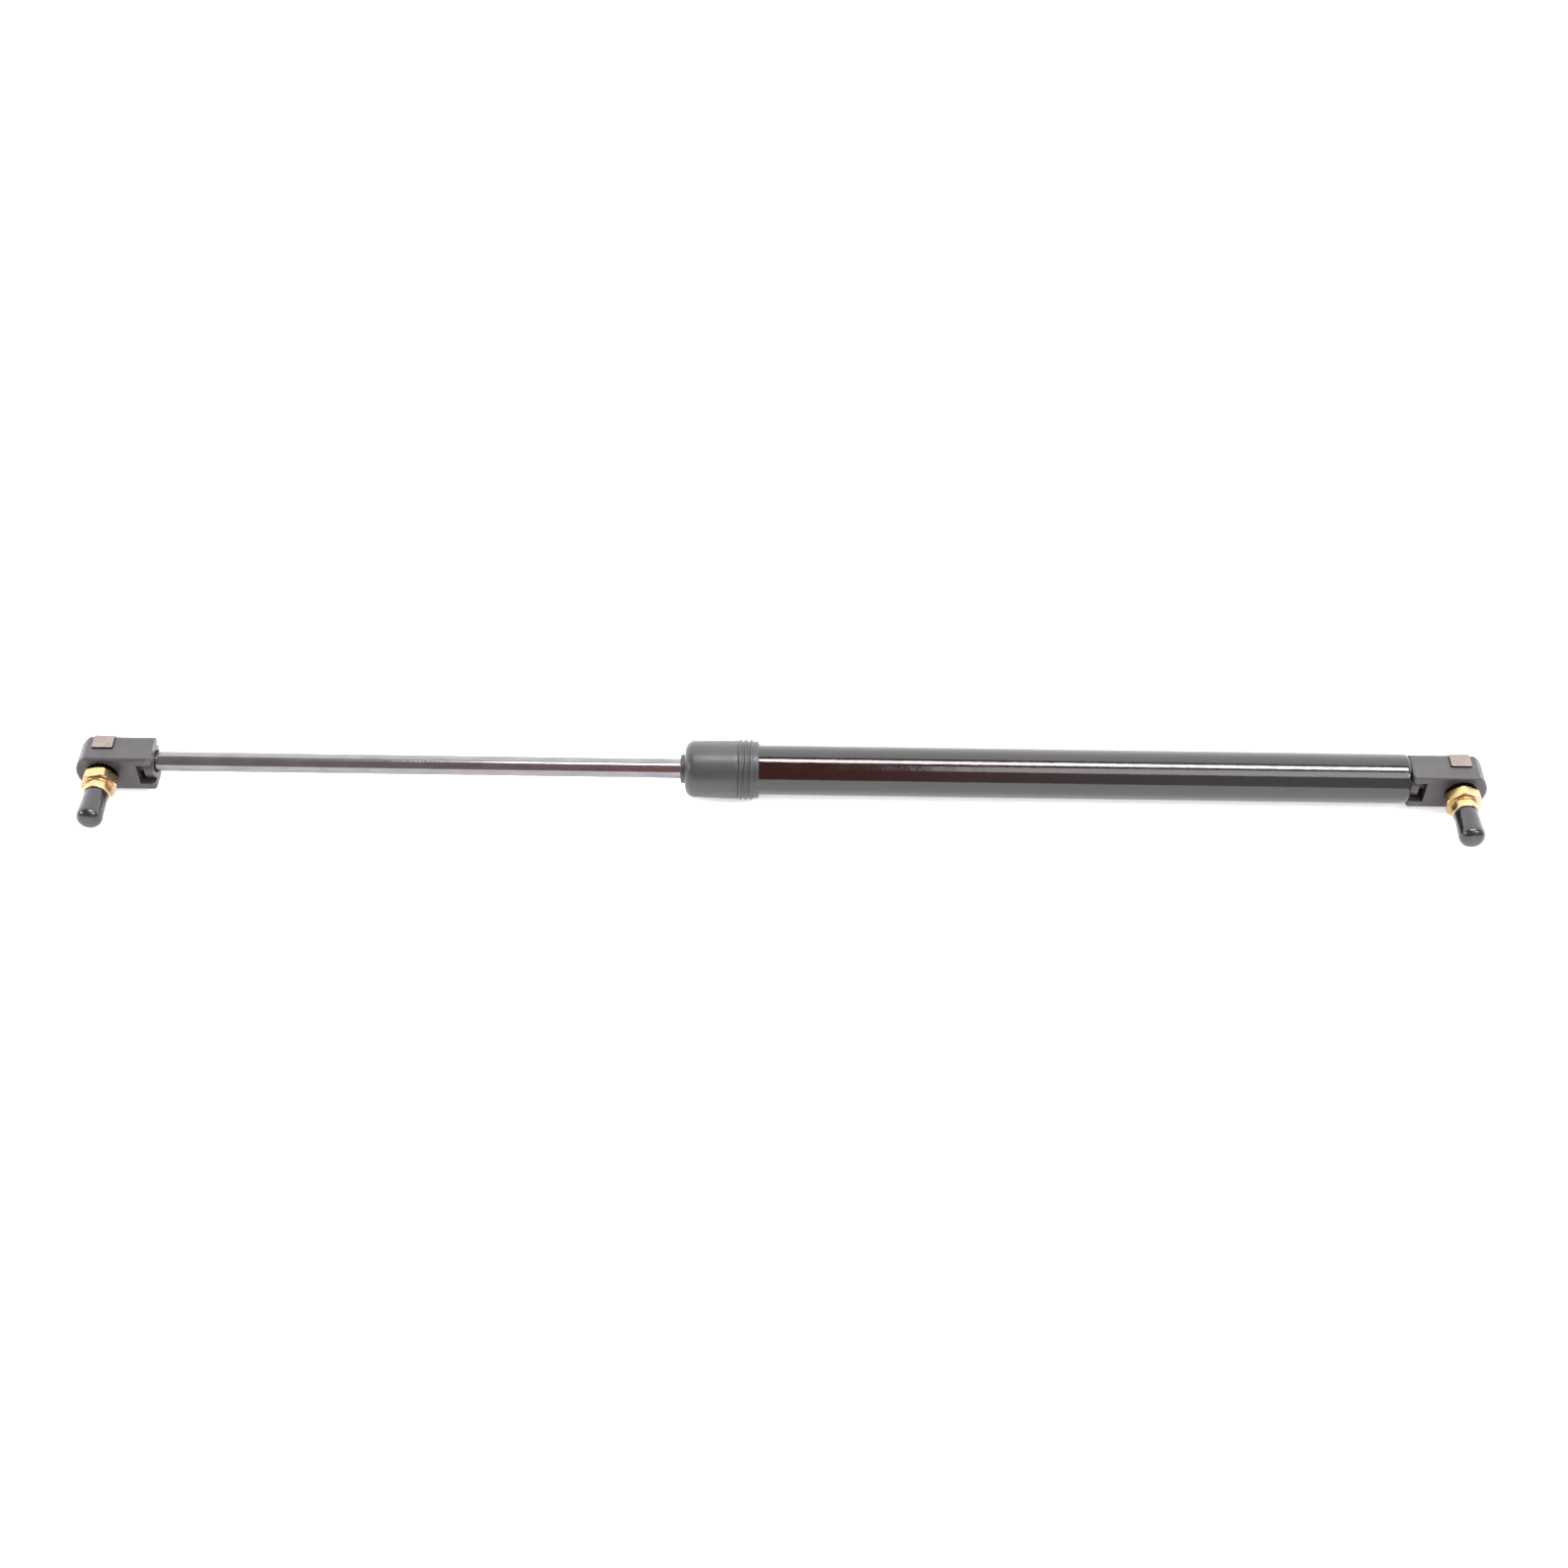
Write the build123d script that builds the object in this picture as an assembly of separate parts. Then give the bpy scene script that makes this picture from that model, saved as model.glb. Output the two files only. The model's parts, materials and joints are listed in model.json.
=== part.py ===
from build123d import *
import math
import os

# Gas strut stay: a sealed tube, a rod that slides in it against gas pressure, and a ball stud
# at each end in a clipped plastic socket. All sizes are in millimetres.
#
# X runs along the strut with the rod end at -X, the ball studs point to -Y and Z is up.
# The origin is the centre of the ball at the tube end. The rod is fully out.

# ---- Layout along the strut ----
EXTENDED_LENGTH = 535.0
SOCKET_REACH = 20.0
STROKE = 200.0
DEAD_LENGTH = 83.0
TUBE_LENGTH = STROKE + DEAD_LENGTH

# ---- Cutting margins ----
OVERCUT = 1.0
WIDE = 20.0
TOUCH = 1e-3

# ---- Tube ----
TUBE_RADIUS = 10.0
TUBE_WALL = 1.2
TUBE_END_THICKNESS = 2.5
TUBE_END_CORNER = 1.7
TUBE_RIM_CORNER = 2.4
TUBE_MOUTH_RADIUS = 6.6
BEAD_TOOL_RADIUS = 1.2
BEAD_TOOL_OFFSET = 0.4
BEAD_PAST_SPACER = 1.9
BEAD_HALF_LENGTH = 5.0
WELD_COLLAR_GAP = 0.3
WELD_COLLAR_END_GAP = 0.2
SLIP = 0.05

# ---- Rod and piston ----
ROD_RADIUS = 4.0
ROD_THREAD_RADIUS = 2.95
ROD_THREAD_LENGTH = 10.0
ROD_NOSE_CHAMFER = 0.5
TENON_RADIUS = 3.0
RIVET_HEAD_RADIUS = 4.3
RIVET_HEAD_LENGTH = 1.4
RIVET_HEAD_ROUNDING = 1.1
STOP_GAP = 0.3
SUPPORT_WASHER_RADIUS = 7.3
SUPPORT_WASHER_THICKNESS = 1.5
PISTON_RADIUS = 8.5
PISTON_NOSE_LENGTH = 2.4
PISTON_BODY_LENGTH = 8.6
PISTON_CHAMFER = 0.4
RING_GROOVE_START = 2.4
RING_GROOVE_WIDTH = 3.0
RING_GROOVE_RADIUS = 6.6
RING_WIDTH = 2.6
RING_INNER_RADIUS = 6.8
ORIFICE_RADIUS = 0.6
ORIFICE_CIRCLE_RADIUS = 5.2
ORIFICE_COUNT = 3
NOTCH_OFFSET = 0.3
VALVE_DISC_RADIUS = 7.0
VALVE_DISC_THICKNESS = 0.6
RIVET_WASHER_RADIUS = 5.8
RIVET_WASHER_THICKNESS = 1.6

# ---- Rod guide and seal pack, in order from the tube's rolled rim ----
ROD_CLEARANCE = 0.04
WASHER_ROD_GAP = 0.5
FRONT_WASHER_THICKNESS = 1.2
FRONT_WASHER_SLIP = 0.2
FRONT_WASHER_CORNER = 1.08
GUIDE_LENGTH = 8.0
GUIDE_GROOVE_DEPTH = 1.0
SEAL_LENGTH = 5.5
SEAL_LIP_WALL = 1.3
SEAL_CAVITY_START = 2.5
SEAL_CAVITY_FILLET = 0.8
SEAL_WASHER_THICKNESS = 1.0
SPACER_LENGTH = 4.3
SPACER_INNER_RADIUS = 5.6
SPACER_GROOVE_DEPTH = 0.8

# ---- Dust boot over the tube's rod end ----
BOOT_LENGTH = 29.1
BOOT_OVERLAP = 26.5
BOOT_FRONT_RADIUS = 11.2
BOOT_BACK_RADIUS = 11.65
BOOT_CORNER = 3.6
BOOT_STEP_FILLET = 0.25
BOOT_OPEN_FILLET = 0.4
BOOT_COLLAR_RADIUS = 5.8
BOOT_COLLAR_LENGTH = 1.9
BOOT_COLLAR_FILLET = 0.7
BOOT_ROD_HOLE_RADIUS = 4.35
BOOT_BAND_LENGTH = 1.9
BOOT_BAND_RADIUS = 11.3
BOOT_RIB_RADIUS = 11.95
BOOT_RIB_WIDTH = 1.25
BOOT_RIB_PITCH = 2.15
BOOT_RIB_COUNT = 3
BOOT_RIB_FILLET = 0.45

# ---- Ball sockets, seen from the ball centre with the strut to +X ----
SOCKET_HALF_HEIGHT = 8.55
SOCKET_FRONT = 7.7
SOCKET_BACK = 6.5
SOCKET_NOSE_RADIUS = 10.4
SOCKET_BACK_FILLET = 3.0
SOCKET_FRONT_FILLET = 1.1
SOCKET_END_FRONT_CORNER = 2.0
SOCKET_END_BACK_CORNER = 0.8
SOCKET_END_FILLET = 0.6
BALL_RADIUS = 5.0
BALL_CLEARANCE = 0.05
MOUTH_THROAT_RADIUS = 4.6
MOUTH_RADIUS = 6.5
MOUTH_OVERCUT = 0.5
THREAD_HOLE_RADIUS = 3.0
THREAD_HOLE_LENGTH = 11.0
COUNTERBORE_RADIUS = 4.6
COUNTERBORE_DEPTH = 2.5
BOSS_RADIUS = 6.5
BOSS_START = 16.4
BOSS_ROOT_RADIUS = 4.2
POCKET_START = 14.0
POCKET_HALF_HEIGHT = 5.1
POCKET_FLOOR = 1.5

# ---- Retaining clip round the back of each socket ----
CLIP_THICKNESS = 1.0
CLIP_WIDTH = 8.0
CLIP_CENTRE = 0.3
CLIP_ARM_END = 1.6
CLIP_CHANNEL_DEPTH = 0.4
CLIP_CHANNEL_SHANK_GAP = 0.6
CLIP_CHANNEL_NOSE_GAP = 0.15
CLIP_CHANNEL_END_GAP = 0.3
CLIP_GAP = 0.1
CLIP_TRAVEL = 4.0
LUG_WIDTH = 3.0
LUG_GAP = 0.3
CLIP_CORNER = 0.5

# ---- Ball studs, measured outwards from the ball centre ----
NECK_RADIUS = 3.0
HEX_START = 10.2
HEX_END = 14.5
HEX_ACROSS_FLATS = 13.0
HEX_CHAMFER_ALONG = 0.5
HEX_CHAMFER_IN = 0.9
TUBE_STUD_TURN = 21.0
ROD_STUD_TURN = -9.0
SHOULDER_RADIUS = 5.25
SHOULDER_END = 18.9
SHOULDER_CHAMFER = 0.3
SHANK_RADIUS = 4.0
SHANK_END = 31.4
SHANK_CHAMFER = 0.8

# ---- Vinyl caps over the stud threads ----
CAP_RIM_RADIUS = 4.65
CAP_TIP_RADIUS = 5.1
CAP_END = 33.6
CAP_TIP_LENGTH = 3.4
CAP_CORNER = 2.8
CAP_BORE_RADIUS = 4.05
CAP_BORE_END = 31.7
CAP_DOME = 0.5

# ---- Places worked out from the sizes above ----
TUBE_END_X = -SOCKET_REACH
TUBE_RIM_X = TUBE_END_X - TUBE_LENGTH
TUBE_BORE_RADIUS = TUBE_RADIUS - TUBE_WALL
PACK_RADIUS = TUBE_BORE_RADIUS - SLIP
ROD_BALL_X = -EXTENDED_LENGTH
ROD_SOCKET_FACE_X = ROD_BALL_X + SOCKET_REACH
ROD_SHOULDER_X = ROD_SOCKET_FACE_X - COUNTERBORE_DEPTH
FRONT_WASHER_X = TUBE_RIM_X + TUBE_WALL
GUIDE_X = FRONT_WASHER_X + FRONT_WASHER_THICKNESS
SEAL_X = GUIDE_X + GUIDE_LENGTH
SEAL_WASHER_X = SEAL_X + SEAL_LENGTH
SPACER_X = SEAL_WASHER_X + SEAL_WASHER_THICKNESS
SPACER_END_X = SPACER_X + SPACER_LENGTH
BEAD_X = SPACER_END_X + BEAD_PAST_SPACER
SUPPORT_WASHER_X = SPACER_END_X + STOP_GAP
PISTON_X = SUPPORT_WASHER_X + SUPPORT_WASHER_THICKNESS
PISTON_BODY_X = PISTON_X + PISTON_NOSE_LENGTH
PISTON_END_X = PISTON_BODY_X + PISTON_BODY_LENGTH
RING_GROOVE_X = PISTON_BODY_X + RING_GROOVE_START
RING_X = RING_GROOVE_X + (RING_GROOVE_WIDTH - RING_WIDTH) / 2
VALVE_DISC_X = PISTON_END_X
RIVET_WASHER_X = VALVE_DISC_X + VALVE_DISC_THICKNESS
RIVET_HEAD_X = RIVET_WASHER_X + RIVET_WASHER_THICKNESS
BOOT_OPEN_X = TUBE_RIM_X + BOOT_OVERLAP
BOOT_FRONT_X = BOOT_OPEN_X - BOOT_LENGTH
BOOT_COLLAR_X = BOOT_FRONT_X - BOOT_COLLAR_LENGTH


def bar_x(radius, start, end):
    """A round bar along X."""
    return Pos((start + end) / 2, 0, 0) * Rot(0, 90, 0) * Cylinder(radius, end - start)


def bar_out(radius, start, end):
    """A round bar along the stud's axis, with distances measured outwards (to -Y)."""
    return Pos(0, -(start + end) / 2, 0) * Rot(90, 0, 0) * Cylinder(radius, end - start)


def block(x0, x1, y0, y1, z0, z1):
    """A box between two corners."""
    return Pos((x0 + x1) / 2, (y0 + y1) / 2, (z0 + z1) / 2) * Box(x1 - x0, y1 - y0, z1 - z0)


def ring_x(outer_radius, inner_radius, start, end):
    """A plain ring round the X axis."""
    return bar_x(outer_radius, start, end) - bar_x(inner_radius, start - OVERCUT, end + OVERCUT)


def circle_edges_at(shape, x, radius):
    """The circular edges round X at one place and radius."""
    return [
        edge
        for edge in shape.edges().filter_by(GeomType.CIRCLE)
        if abs(edge.arc_center.X - x) < TOUCH and abs(edge.radius - radius) < TOUCH
    ]


def cylinder_tube():
    """Drawn steel tube with a closed end, a rolled rim and a rolled bead that holds the seal pack."""
    body = bar_x(TUBE_RADIUS, TUBE_RIM_X, TUBE_END_X)
    body = fillet(circle_edges_at(body, TUBE_END_X, TUBE_RADIUS), TUBE_END_CORNER)
    body = fillet(circle_edges_at(body, TUBE_RIM_X, TUBE_RADIUS), TUBE_RIM_CORNER)
    bore_start = TUBE_RIM_X + TUBE_WALL
    bore_end = TUBE_END_X - TUBE_END_THICKNESS
    bore = bar_x(TUBE_BORE_RADIUS, bore_start, bore_end)
    bore = fillet(circle_edges_at(bore, bore_start, TUBE_BORE_RADIUS), TUBE_RIM_CORNER - TUBE_WALL)
    bore = fillet(circle_edges_at(bore, bore_end, TUBE_BORE_RADIUS), TUBE_WALL)
    mouth = bar_x(TUBE_MOUTH_RADIUS, TUBE_RIM_X - OVERCUT, bore_start + OVERCUT)
    tool_circle = TUBE_RADIUS + BEAD_TOOL_OFFSET
    bead_place = Pos(BEAD_X, 0, 0) * Rot(0, 90, 0)
    bead = bead_place * Torus(tool_circle, BEAD_TOOL_RADIUS + TUBE_WALL)
    middle_of_wall = TUBE_RADIUS - TUBE_WALL / 2
    bead = bead & bar_x(middle_of_wall, BEAD_X - BEAD_HALF_LENGTH, BEAD_X + BEAD_HALF_LENGTH)
    groove = bead_place * Torus(tool_circle, BEAD_TOOL_RADIUS)
    return body - bore - mouth + bead - groove


def tube_end_stud():
    """Threaded stud welded to the tube's closed end, which screws into the tube's socket."""
    collar_end = TUBE_END_X + COUNTERBORE_DEPTH - WELD_COLLAR_END_GAP
    collar = bar_x(COUNTERBORE_RADIUS - WELD_COLLAR_GAP, TUBE_END_X, collar_end)
    thread_end = TUBE_END_X + COUNTERBORE_DEPTH + ROD_THREAD_LENGTH
    thread = bar_x(ROD_THREAD_RADIUS, TUBE_END_X, thread_end)
    thread = chamfer(circle_edges_at(thread, thread_end, ROD_THREAD_RADIUS), ROD_NOSE_CHAMFER)
    return thread + collar


def pack_ring(start, length, inner_radius, groove_depth=0.0):
    """One ring of the seal pack, with an optional groove round its outside."""
    ring = ring_x(PACK_RADIUS, inner_radius, start, start + length)
    if groove_depth > 0:
        third = length / 3
        outside = PACK_RADIUS + OVERCUT
        ring -= ring_x(outside, PACK_RADIUS - groove_depth, start + third, start + 2 * third)
    return ring


def front_washer():
    """Steel washer whose rounded corner sits in the tube's rolled rim."""
    radius = PACK_RADIUS - FRONT_WASHER_SLIP
    washer = ring_x(radius, ROD_RADIUS + WASHER_ROD_GAP, FRONT_WASHER_X, GUIDE_X)
    return fillet(circle_edges_at(washer, FRONT_WASHER_X, radius), FRONT_WASHER_CORNER)


def rod_seal():
    """Rubber seal with a lip cavity open to the pressure side."""
    seal = pack_ring(SEAL_X, SEAL_LENGTH, ROD_RADIUS + ROD_CLEARANCE)
    cavity_outer = PACK_RADIUS - SEAL_LIP_WALL
    cavity_inner = ROD_RADIUS + SEAL_LIP_WALL
    cavity = ring_x(cavity_outer, cavity_inner, SEAL_X + SEAL_CAVITY_START, SEAL_WASHER_X + OVERCUT)
    cavity = fillet(cavity.edges().group_by(Axis.X)[0], SEAL_CAVITY_FILLET)
    return seal - cavity


def rod_boot():
    """Rubber dust boot: a rounded sleeve with a lip round the rod and three ribs at its open end."""
    rib_zone = BOOT_BAND_LENGTH + BOOT_RIB_COUNT * BOOT_RIB_PITCH
    barrel_end = BOOT_OPEN_X - rib_zone
    outline = Polyline(
        (BOOT_FRONT_X, 0),
        (BOOT_FRONT_X, BOOT_FRONT_RADIUS),
        (barrel_end, BOOT_BACK_RADIUS),
        (barrel_end, BOOT_BAND_RADIUS),
        (BOOT_OPEN_X, BOOT_BAND_RADIUS),
        (BOOT_OPEN_X, 0),
        (BOOT_FRONT_X, 0),
    )
    body = revolve(make_face(outline), Axis.X)
    body = fillet(circle_edges_at(body, BOOT_FRONT_X, BOOT_FRONT_RADIUS), BOOT_CORNER)
    body = fillet(circle_edges_at(body, barrel_end, BOOT_BACK_RADIUS), BOOT_STEP_FILLET)
    body = fillet(circle_edges_at(body, BOOT_OPEN_X, BOOT_BAND_RADIUS), BOOT_OPEN_FILLET)
    collar = bar_x(BOOT_COLLAR_RADIUS, BOOT_COLLAR_X, BOOT_FRONT_X + OVERCUT)
    collar = fillet(circle_edges_at(collar, BOOT_COLLAR_X, BOOT_COLLAR_RADIUS), BOOT_COLLAR_FILLET)
    body += collar
    for index in range(BOOT_RIB_COUNT):
        centre = BOOT_OPEN_X - BOOT_BAND_LENGTH - (index + 0.5) * BOOT_RIB_PITCH
        rib = bar_x(BOOT_RIB_RADIUS, centre - BOOT_RIB_WIDTH / 2, centre + BOOT_RIB_WIDTH / 2)
        rib = fillet(rib.edges().filter_by(GeomType.CIRCLE), BOOT_RIB_FILLET)
        body += rib
    inner_radius = TUBE_RADIUS + SLIP
    inner_start = TUBE_RIM_X - SLIP
    inside = bar_x(inner_radius, inner_start, BOOT_OPEN_X + OVERCUT)
    inside = fillet(circle_edges_at(inside, inner_start, inner_radius), TUBE_RIM_CORNER)
    rod_hole = bar_x(BOOT_ROD_HOLE_RADIUS, BOOT_COLLAR_X - OVERCUT, BOOT_OPEN_X)
    return body - inside - rod_hole


def piston_rod():
    """Ground and nitrided rod, threaded for its socket, with a riveted tenon through the piston."""
    rod = bar_x(ROD_RADIUS, ROD_SHOULDER_X, SUPPORT_WASHER_X)
    rod = chamfer(circle_edges_at(rod, ROD_SHOULDER_X, ROD_RADIUS), ROD_NOSE_CHAMFER)
    thread_end = ROD_SHOULDER_X - ROD_THREAD_LENGTH
    thread = bar_x(ROD_THREAD_RADIUS, thread_end, ROD_SHOULDER_X)
    thread = chamfer(circle_edges_at(thread, thread_end, ROD_THREAD_RADIUS), ROD_NOSE_CHAMFER)
    tenon = bar_x(TENON_RADIUS, SUPPORT_WASHER_X, RIVET_HEAD_X)
    head_end = RIVET_HEAD_X + RIVET_HEAD_LENGTH
    head = bar_x(RIVET_HEAD_RADIUS, RIVET_HEAD_X, head_end)
    head = fillet(circle_edges_at(head, head_end, RIVET_HEAD_RADIUS), RIVET_HEAD_ROUNDING)
    return rod + thread + tenon + head


def piston():
    """Piston with a narrower nose, a groove for its ring and small gas passages."""
    body = bar_x(PISTON_RADIUS, PISTON_BODY_X, PISTON_END_X)
    body = chamfer(body.edges().filter_by(GeomType.CIRCLE), PISTON_CHAMFER)
    body += bar_x(SUPPORT_WASHER_RADIUS, PISTON_X, PISTON_BODY_X)
    groove_end = RING_GROOVE_X + RING_GROOVE_WIDTH
    body -= ring_x(PISTON_RADIUS + OVERCUT, RING_GROOVE_RADIUS, RING_GROOVE_X, groove_end)
    body -= bar_x(TENON_RADIUS + SLIP, PISTON_X - OVERCUT, PISTON_END_X + OVERCUT)
    orifice = bar_x(ORIFICE_RADIUS, PISTON_X - OVERCUT, PISTON_END_X + OVERCUT)
    for index in range(ORIFICE_COUNT):
        turn = Rot(index * 360 / ORIFICE_COUNT, 0, 0)
        body -= turn * Pos(0, 0, ORIFICE_CIRCLE_RADIUS) * orifice
    return body


def valve_disc():
    """Thin disc behind the piston that partly covers the gas passages."""
    disc = ring_x(VALVE_DISC_RADIUS, TENON_RADIUS + SLIP, VALVE_DISC_X, RIVET_WASHER_X)
    notch = bar_x(ORIFICE_RADIUS, VALVE_DISC_X - OVERCUT, RIVET_WASHER_X + OVERCUT)
    for index in range(ORIFICE_COUNT):
        turn = Rot(index * 360 / ORIFICE_COUNT, 0, 0)
        disc -= turn * Pos(0, 0, ORIFICE_CIRCLE_RADIUS + NOTCH_OFFSET) * notch
    return disc


def clip_loop(clearance, x0, x1, front):
    """The solid that a clip of this clearance wraps: straight sides with a rounded back."""
    half_height = SOCKET_HALF_HEIGHT - CLIP_CHANNEL_DEPTH + clearance
    back = SOCKET_BACK - CLIP_CHANNEL_DEPTH + clearance
    loop = block(x0, x1, front, back, -half_height, half_height)
    bend = SOCKET_BACK_FILLET - CLIP_CHANNEL_DEPTH + clearance
    return fillet(loop.edges().filter_by(Axis.X).group_by(Axis.Y)[-1], bend)


def socket_shell():
    """The socket's outer block: a round nose, a square shank end and softened edges."""
    nose = bar_out(SOCKET_NOSE_RADIUS, -SOCKET_BACK, SOCKET_FRONT)
    nose_rims = nose.edges().filter_by(GeomType.CIRCLE).sort_by(Axis.Y)
    nose = fillet(nose_rims[-1], SOCKET_BACK_FILLET)
    nose_rims = nose.edges().filter_by(GeomType.CIRCLE).sort_by(Axis.Y)
    nose = fillet(nose_rims[0], SOCKET_FRONT_FILLET)
    half = SOCKET_HALF_HEIGHT
    shank = block(0, SOCKET_REACH, -SOCKET_FRONT, SOCKET_BACK, -half, half)
    uprights = shank.faces().sort_by(Axis.X)[-1].edges().filter_by(Axis.Z).sort_by(Axis.Y)
    shank = fillet(uprights[0], SOCKET_END_FRONT_CORNER)
    uprights = shank.faces().sort_by(Axis.X)[-1].edges().filter_by(Axis.Z).sort_by(Axis.Y)
    shank = fillet(uprights[-1], SOCKET_END_BACK_CORNER)
    shank = fillet(shank.faces().sort_by(Axis.X)[-1].edges().filter_by(Axis.Y), SOCKET_END_FILLET)
    section = block(-WIDE, 2 * WIDE, -SOCKET_FRONT, SOCKET_BACK, -half, half)
    section = fillet(section.edges().filter_by(Axis.X).group_by(Axis.Y)[-1], SOCKET_BACK_FILLET)
    section = fillet(section.edges().filter_by(Axis.X).group_by(Axis.Y)[0], SOCKET_FRONT_FILLET)
    return (nose + shank) & section


def socket_pockets():
    """Moulding recesses round the threaded boss, open on the front, the back and the shank's end."""
    end = SOCKET_REACH + OVERCUT
    cut = block(POCKET_START, end, -WIDE, WIDE, -POCKET_HALF_HEIGHT, POCKET_HALF_HEIGHT)
    cut -= block(POCKET_START - OVERCUT, end + OVERCUT, -POCKET_FLOOR, POCKET_FLOOR, -WIDE, WIDE)
    cut -= bar_x(BOSS_ROOT_RADIUS, POCKET_START - OVERCUT, end + OVERCUT)
    return cut - bar_x(BOSS_RADIUS, BOSS_START, end + OVERCUT)


def ball_socket():
    """Plastic ball socket, with its ball centre at the origin and its shank to +X."""
    body = socket_shell() - socket_pockets()
    counterbore_floor = SOCKET_REACH - COUNTERBORE_DEPTH
    body -= bar_x(COUNTERBORE_RADIUS, counterbore_floor, SOCKET_REACH + OVERCUT)
    body -= bar_x(THREAD_HOLE_RADIUS, counterbore_floor - THREAD_HOLE_LENGTH, SOCKET_REACH)
    body -= Sphere(BALL_RADIUS + BALL_CLEARANCE)
    throat = math.sqrt((BALL_RADIUS + BALL_CLEARANCE) ** 2 - MOUTH_THROAT_RADIUS**2)
    mouth_length = SOCKET_FRONT + MOUTH_OVERCUT - throat
    mouth = Rot(90, 0, 0) * Cone(MOUTH_THROAT_RADIUS, MOUTH_RADIUS, mouth_length)
    body -= Pos(0, -(throat + mouth_length / 2), 0) * mouth
    nose_side = CLIP_CENTRE - CLIP_WIDTH / 2 - CLIP_CHANNEL_NOSE_GAP
    shank_side = CLIP_CENTRE + CLIP_WIDTH / 2 + CLIP_CHANNEL_SHANK_GAP
    front = -CLIP_ARM_END - CLIP_CHANNEL_END_GAP
    channel = block(nose_side, shank_side, front, WIDE, -WIDE, WIDE)
    channel -= clip_loop(0, nose_side - OVERCUT, shank_side + OVERCUT, -WIDE)
    body -= channel
    slot_side = LUG_WIDTH / 2 + LUG_GAP
    slot_back = CLIP_TRAVEL + CLIP_THICKNESS - CLIP_ARM_END + LUG_GAP
    slot = block(CLIP_CENTRE - slot_side, CLIP_CENTRE + slot_side, front, slot_back, -WIDE, WIDE)
    return body - slot


def retaining_clip():
    """Spring strip bent round the back of a socket, with a lug on each arm beside the ball."""
    x0 = CLIP_CENTRE - CLIP_WIDTH / 2
    x1 = CLIP_CENTRE + CLIP_WIDTH / 2
    clip = clip_loop(CLIP_GAP + CLIP_THICKNESS, x0, x1, -CLIP_ARM_END)
    clip -= clip_loop(CLIP_GAP, x0 - OVERCUT, x1 + OVERCUT, -WIDE)
    arm_inside = SOCKET_HALF_HEIGHT - CLIP_CHANNEL_DEPTH + CLIP_GAP
    lug_x0 = CLIP_CENTRE - LUG_WIDTH / 2
    lug_x1 = CLIP_CENTRE + LUG_WIDTH / 2
    lug_tip = BALL_RADIUS + LUG_GAP
    lug_back = CLIP_THICKNESS - CLIP_ARM_END
    for side in (-1, 1):
        low, high = sorted((side * lug_tip, side * (arm_inside + CLIP_THICKNESS / 2)))
        clip += block(lug_x0, lug_x1, -CLIP_ARM_END, lug_back, low, high)
    corners = [
        edge
        for edge in clip.edges().filter_by(Axis.Z)
        if abs(edge.center().Y + CLIP_ARM_END) < TOUCH and abs(edge.center().Z) > arm_inside
    ]
    return fillet(corners, CLIP_CORNER)


def ball_stud(turn):
    """Ball stud with a hexagon, a round shoulder and a threaded shank; turn is its angle about its axis."""
    hexagon = extrude(
        Plane.XZ.offset(HEX_START) * RegularPolygon(HEX_ACROSS_FLATS / 2, 6, major_radius=False),
        HEX_END - HEX_START,
    )
    corner_radius = HEX_ACROSS_FLATS / 2 / math.cos(math.radians(30))
    rounding = bar_out(corner_radius, HEX_START, HEX_END)
    rounding = chamfer(rounding.edges().filter_by(GeomType.CIRCLE), HEX_CHAMFER_ALONG, HEX_CHAMFER_IN)
    hexagon = hexagon & rounding
    shank = bar_out(SHANK_RADIUS, SHOULDER_END - OVERCUT, SHANK_END)
    shank = chamfer(shank.faces().sort_by(Axis.Y)[0].edges(), SHANK_CHAMFER)
    shoulder = bar_out(SHOULDER_RADIUS, HEX_END - OVERCUT, SHOULDER_END)
    shoulder = chamfer(shoulder.faces().sort_by(Axis.Y)[0].edges(), SHOULDER_CHAMFER)
    neck = bar_out(NECK_RADIUS, 0, HEX_START + OVERCUT)
    stud = Sphere(BALL_RADIUS) + neck + hexagon + shoulder + shank
    return Rot(0, turn, 0) * stud


def stud_cap():
    """Soft vinyl cap with a rounded end, a little wider at its tip."""
    tip_start = CAP_END - CAP_TIP_LENGTH
    outline = Polyline(
        (0, -SHOULDER_END),
        (CAP_RIM_RADIUS, -SHOULDER_END),
        (CAP_TIP_RADIUS, -tip_start),
        (CAP_TIP_RADIUS, -CAP_END + CAP_DOME),
        (0, -CAP_END),
        (0, -SHOULDER_END),
    )
    body = revolve(make_face(outline), Axis.Y)
    corner = [
        edge
        for edge in body.edges().filter_by(GeomType.CIRCLE)
        if abs(edge.arc_center.Y + CAP_END - CAP_DOME) < TOUCH
    ]
    body = fillet(corner, CAP_CORNER)
    return body - bar_out(CAP_BORE_RADIUS, SHOULDER_END - OVERCUT, CAP_BORE_END)


def at_tube_end(shape):
    """Turns a piece made for a shank to +X so that it meets the tube, whose studs point the same way."""
    return mirror(shape, Plane.YZ)


def at_rod_end(shape):
    """Moves a piece from the origin to the ball at the rod end."""
    return Pos(ROD_BALL_X, 0, 0) * shape


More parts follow.
